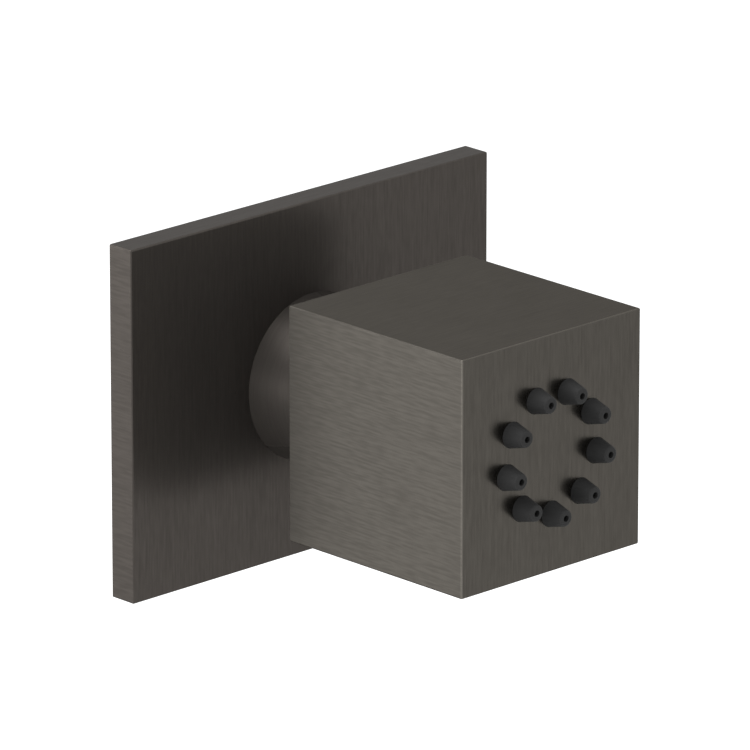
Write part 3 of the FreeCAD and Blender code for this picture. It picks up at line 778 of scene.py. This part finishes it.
class JET_OT_nozzles(bpy.types.Operator):
    """Make the soft moulding with its ring of nozzles"""
    bl_idname = "jet.nozzles"
    bl_label = "Nozzles"

    def execute(self, context):
        sizes = context.scene.jet_nozzles
        overlap = 0.2 * MM
        tip, back, mat_radius = MAT_LOW.y, MAT_HIGH.y, MAT_HIGH.x
        mat_front = back - sizes.mat_thickness
        disc = shown("disc", turned_mesh("disc", [
            (0.0, back), (mat_radius, back), (mat_radius, mat_front), (0.0, mat_front)]))
        nozzle = shown("nozzle", turned_mesh("nozzle", [
            (0.0, mat_front + overlap), (sizes.base_radius, mat_front + overlap),
            *rounded_tip(sizes, FACE_Y, tip)], columns=48))
        hole = shown("water_hole", turned_mesh("water_hole", [
            (0.0, back + overlap), (sizes.feed_radius, back + overlap), (sizes.feed_radius, back),
            (sizes.jet_radius, tip), (sizes.jet_radius, tip - overlap), (0.0, tip - overlap)],
            columns=32))
        piece = nodes_to_mesh("nozzle_moulding", nozzle_tree(), {
            "Count": sizes.count, "Radius": sizes.ring_radius, "First Angle": sizes.first_angle,
            "Disc": disc, "Nozzle": nozzle, "Water Hole": hole,
            "Material": finish_of("soft_silicone")})
        for template in (disc, nozzle, hole):
            bpy.data.objects.remove(template)
        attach(piece, "head")
        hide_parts("nozzle_mat")
        return {"FINISHED"}


class JET_OT_rims(bpy.types.Operator):
    """Make the metal rims that close the face round the nozzles"""
    bl_idname = "jet.rims"
    bl_label = "Nozzle Rims"

    def execute(self, context):
        sizes = context.scene.jet_nozzles
        lip, fit = sizes.rim_lip, 0.01 * MM
        inner, seat, outer = sizes.base_radius + fit, sizes.hole_radius - fit, sizes.hole_radius + lip
        back = FACE_Y + sizes.rim_depth
        rim = shown("rim", turned_mesh("rim", [
            (inner, FACE_Y - lip), (outer, FACE_Y - lip), (outer, FACE_Y), (seat, FACE_Y),
            (seat, back), (inner, back)], columns=48, ring=True))
        piece = nodes_to_mesh("nozzle_rims", rim_tree(), {
            "Count": sizes.count, "Radius": sizes.ring_radius, "First Angle": sizes.first_angle,
            "Rim": rim, "Material": finish_of("brushed_head")})
        bpy.data.objects.remove(rim)
        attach(piece, "head")
        return {"FINISHED"}


def hexagon(across_flats):
    """The rule for the radius of a hexagon at an angle."""
    sixth = math.pi / 3

    def radius(turn):
        return across_flats / 2 / math.cos((turn + sixth / 2) % sixth - sixth / 2)
    return radius


def thread_rows(sizes, start, end, per_pitch=10):
    """Rows of a screw thread between two Y, fading out at both ends."""
    rows = []
    steps = round((start - end) / sizes.thread_pitch * per_pitch)
    fade_steps = per_pitch / 2
    for step in range(steps + 1):
        y = start + (end - start) * step / steps
        fade = min(1.0, step / fade_steps, (steps - step) / fade_steps)
        crest = min(sizes.thread_radius, sizes.thread_radius - sizes.end_chamfer + (start - y))
        rows.append((thread_rule(sizes, y, fade, crest), y))
    return rows


def thread_rule(sizes, y, fade, crest):
    """The rule for the radius of a thread at an angle: rounded crests and roots, straight flanks."""
    def radius(turn):
        phase = (y / sizes.thread_pitch + turn / (2 * math.pi)) % 1.0
        wave = max(-1.0, min(1.0, FLANK * (1.0 - 4.0 * abs(phase - 0.5))))
        depth = sizes.thread_depth * fade * (0.5 - 0.5 * wave)
        return min(sizes.thread_radius - depth, crest)
    return radius


class JET_OT_inlet(bpy.types.Operator):
    """Make the brass inlet connector with its thread"""
    bl_idname = "jet.inlet"
    bl_label = "Inlet Connector"

    def execute(self, context):
        sizes = context.scene.jet_inlet
        back, front = CONNECTOR_HIGH.y, CONNECTOR_LOW.y
        body_r = CONNECTOR_HIGH.x
        groove_r = body_r - sizes.groove_depth
        pocket_r = SCREEN_RADIUS + sizes.fit
        thread_end = back - sizes.thread_length
        shoulder = thread_end - sizes.groove_width
        key, key_back = hexagon(sizes.key_across_flats), SPRING_BACK + sizes.key_depth
        rows = thread_rows(sizes, back, thread_end)
        rows += [
            (groove_r, thread_end), (groove_r, shoulder),
            (body_r, shoulder), (body_r, front + sizes.front_chamfer),
            (body_r - sizes.front_chamfer, front),
            (SPRING_RADIUS, front), (SPRING_RADIUS, SPRING_BACK),
            (key, SPRING_BACK), (key, key_back),
            (sizes.throat_radius, key_back), (sizes.throat_radius, REGULATOR_FRONT),
            (pocket_r, REGULATOR_FRONT), (pocket_r, back - sizes.lead_in),
            (pocket_r + sizes.lead_in, back)]
        piece = shown("threaded_inlet", turned_mesh("threaded_inlet", rows, ring=True))
        give_finish("turned_brass", piece)
        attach(piece, "wall_side")
        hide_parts("inlet_connector")
        return {"FINISHED"}


def screw_tree():
    """A copy of one screw at each corner of a square."""
    tree, given, out = geometry_tree("Cover Screws", [
        ("Spacing", "NodeSocketFloat"), ("Screw", "NodeSocketObject"), ("Material", "NodeSocketMaterial")])
    grid = node(tree, "GeometryNodeMeshGrid", {
        "Size X": given.outputs["Spacing"], "Size Y": given.outputs["Spacing"],
        "Vertices X": 2, "Vertices Y": 2})
    upright = node(tree, "GeometryNodeTransform", {
        "Geometry": grid.outputs[0], "Rotation": (math.pi / 2, 0.0, 0.0)})
    whole = copies_of(tree, upright.outputs[0], shape_of(tree, given.outputs["Screw"]))
    painted = node(tree, "GeometryNodeSetMaterial",
                   {"Geometry": whole, "Material": given.outputs["Material"]})
    tree.links.new(painted.outputs[0], out.inputs["Geometry"])
    return tree


class JET_OT_screws(bpy.types.Operator):
    """Make the countersunk cover screws"""
    bl_idname = "jet.screws"
    bl_label = "Cover Screws"

    def execute(self, context):
        sizes = context.scene.jet_screws
        top, tip = SCREWS_HIGH.y, SCREWS_LOW.y
        head_r, shank_r, land = sizes.head_radius, sizes.shank_radius, sizes.land
        key = hexagon(sizes.key_across_flats)
        socket_end = top - sizes.key_depth
        drill_point = socket_end - shank_r / 4
        cone_end = top - land - (head_r - shank_r)
        screw = shown("screw", turned_mesh("screw", [
            (0.0, drill_point), (key, socket_end), (key, top), (head_r - land, top),
            (head_r, top - land), (shank_r, cone_end), (shank_r, tip + land),
            (shank_r - land, tip), (0.0, tip)], columns=48))
        spacing = 2 * (SCREWS_HIGH.x - head_r)
        piece = nodes_to_mesh("cover_screw_set", screw_tree(), {
            "Spacing": spacing, "Screw": screw, "Material": finish_of("blackened_steel")})
        bpy.data.objects.remove(screw)
        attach(piece, "head")
        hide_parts("cover_screws")
        return {"FINISHED"}


class JET_OT_metal_finish(bpy.types.Operator):
    """Give the coated and bare metal pieces their finishes"""
    bl_idname = "jet.metal_finish"
    bl_label = "Metal Finishes"

    def execute(self, context):
        finish_nodes("brushed_plate", "wall_plate")
        finish_nodes("brushed_head", "head_shell", "rear_cover")
        finish_nodes("turned_gunmetal", "collar", "ball_stem")
        finish_nodes("bright_steel", "filter_screen", "seat_spring", "lock_washer", "stem_nut",
                     "retaining_ring")
        return {"FINISHED"}


class JET_OT_soft_finish(bpy.types.Operator):
    """Give the seals and plastic pieces their finishes"""
    bl_idname = "jet.soft_finish"
    bl_label = "Seal and Plastic Finishes"

    def execute(self, context):
        finish_nodes("seal_rubber", "plate_gasket", "inlet_o_ring", "regulator_ring", "collar_o_ring",
                     "seat_o_ring", "stem_o_ring", "cover_o_ring")
        finish_nodes("white_acetal", "seat_ring", "slip_ring")
        finish_nodes("grey_plastic", "flow_regulator", "distributor_plate")
        return {"FINISHED"}


def background_rays(tree):
    """1 for a ray that should see the plain background: from the camera, a gloss or a glass."""
    path = node(tree, "ShaderNodeLightPath")
    seen = maths(tree, "MAXIMUM", path.outputs["Is Camera Ray"], path.outputs["Is Glossy Ray"])
    return maths(tree, "MAXIMUM", seen, path.outputs["Is Transmission Ray"])


def light_the_world(stage):
    """Even light all round, with a plain white background."""
    world = bpy.data.worlds.new("surround")
    bpy.context.scene.world = world
    world.use_nodes = True
    tree = world.node_tree
    lit = tree.nodes["Background"]
    lit.inputs["Color"].default_value = (1.0, 1.0, 1.0, 1.0)
    lit.inputs["Strength"].default_value = stage.surround
    plain = node(tree, "ShaderNodeBackground", {"Color": (1.0, 1.0, 1.0, 1.0), "Strength": 1.0})
    seen = node(tree, "ShaderNodeMixShader",
                {0: background_rays(tree), 1: lit.outputs[0], 2: plain.outputs[0]})
    tree.links.new(seen.outputs[0], tree.nodes["World Output"].inputs["Surface"])


def lay_floor(stage):
    """A pale floor that keeps the part's shadow and can't be seen from below."""
    bm = bmesh.new()
    bmesh.ops.create_circle(bm, cap_ends=True, segments=96, radius=stage.floor_radius)
    floor = shown("floor", mesh_from(bm, "floor"))
    floor.location = (0.0, 0.0, -stage.floor_drop)
    material, tree, shader = shader_of("pale_floor")
    shader.inputs["Base Color"].default_value = (*stage.floor, 1.0)
    shader.inputs["Roughness"].default_value = 0.9
    shader.inputs["Specular IOR Level"].default_value = 0.0
    glow = node(tree, "ShaderNodeEmission",
                {"Strength": maths(tree, "MULTIPLY", background_rays(tree), stage.floor_glow)})
    lit = node(tree, "ShaderNodeAddShader", {0: shader.outputs[0], 1: glow.outputs[0]})
    clear = node(tree, "ShaderNodeBsdfTransparent")
    behind = node(tree, "ShaderNodeNewGeometry").outputs["Backfacing"]
    seen = node(tree, "ShaderNodeMixShader", {0: behind, 1: lit.outputs[0], 2: clear.outputs[0]})
    tree.links.new(seen.outputs[0], tree.nodes["Material Output"].inputs["Surface"])
    floor.data.materials.append(material)


def hang_lamp(name, place, aim, width, height, power):
    """A large soft lamp that faces a point and isn't seen by the camera."""
    light = bpy.data.lights.new(name, "AREA")
    light.shape = "RECTANGLE"
    light.size = width
    light.size_y = height
    light.energy = power
    lamp = bpy.data.objects.new(name, light)
    bpy.context.scene.collection.objects.link(lamp)
    lamp.location = place
    facing = Vector(aim) - Vector(place)
    lamp.rotation_euler = facing.to_track_quat("-Z", "Y").to_euler()
    lamp.visible_camera = False


def place_camera(stage):
    """The camera at the photograph's viewing angle."""
    azimuth, elevation = stage.azimuth, stage.elevation
    back = Vector((math.sin(azimuth) * math.cos(elevation),
                   -math.cos(azimuth) * math.cos(elevation), math.sin(elevation)))
    right = Vector((math.cos(azimuth), math.sin(azimuth), 0.0))
    up = back.cross(right)
    aim = Vector(stage.camera_aim) - right * stage.shift_left + up * stage.shift_up
    turned = Matrix((right, up, back)).transposed().to_4x4()
    data = bpy.data.cameras.new("camera")
    data.sensor_width = 36.0
    data.lens = stage.lens
    data.clip_start = 0.05
    data.clip_end = 50.0
    camera = bpy.data.objects.new("camera", data)
    bpy.context.scene.collection.objects.link(camera)
    camera.matrix_world = Matrix.Translation(aim + back * stage.distance) @ turned
    bpy.context.scene.camera = camera


class JET_OT_stage(bpy.types.Operator):
    """Set up the floor, the light and the camera"""
    bl_idname = "jet.stage"
    bl_label = "Stage"

    def execute(self, context):
        stage = context.scene.jet_stage
        light_the_world(stage)
        lay_floor(stage)
        hang_lamp("softbox", stage.softbox_place, stage.lamp_aim,
                  stage.softbox_width, stage.softbox_height, stage.softbox_power)
        hang_lamp("overhead", stage.overhead_place, stage.lamp_aim,
                  stage.overhead_size, stage.overhead_size, stage.overhead_power)
        place_camera(stage)
        context.scene.view_settings.view_transform = "Standard"
        return {"FINISHED"}


OPERATORS = (JET_OT_metal_finish, JET_OT_soft_finish, JET_OT_nozzles, JET_OT_rims, JET_OT_inlet,
             JET_OT_screws, JET_OT_stage)
GROUPS = {"jet_finish": JetFinish, "jet_nozzles": JetNozzles, "jet_inlet": JetInlet,
          "jet_screws": JetScrews, "jet_stage": JetStage}


class JET_PT_sidebar(bpy.types.Panel):
    """Lists the steps that make the jet"""
    bl_idname = "JET_PT_sidebar"
    bl_label = "Shower Body Jet"
    bl_space_type = "VIEW_3D"
    bl_region_type = "UI"
    bl_category = "Body Jet"

    def draw(self, context):
        for operator in OPERATORS:
            self.layout.operator(operator.bl_idname)
        for name in GROUPS:
            group = getattr(context.scene, name)
            box = self.layout.box()
            for key in group.bl_rna.properties.keys():
                if key not in ("rna_type", "name"):
                    box.prop(group, key)


CLASSES = (*GROUPS.values(), *OPERATORS, JET_PT_sidebar)


def register():
    """Make the classes and the sizes known."""
    for made in CLASSES:
        bpy.utils.register_class(made)
    for name, group in GROUPS.items():
        setattr(bpy.types.Scene, name, PointerProperty(type=group))


def unregister():
    """Take the classes and the sizes away again."""
    for name in GROUPS:
        delattr(bpy.types.Scene, name)
    for made in reversed(CLASSES):
        bpy.utils.unregister_class(made)


def main():
    """Run every step in order."""
    register()
    for operator in OPERATORS:
        area, step = operator.bl_idname.split(".")
        getattr(getattr(bpy.ops, area), step)()


if __name__ == "__main__":
    main()
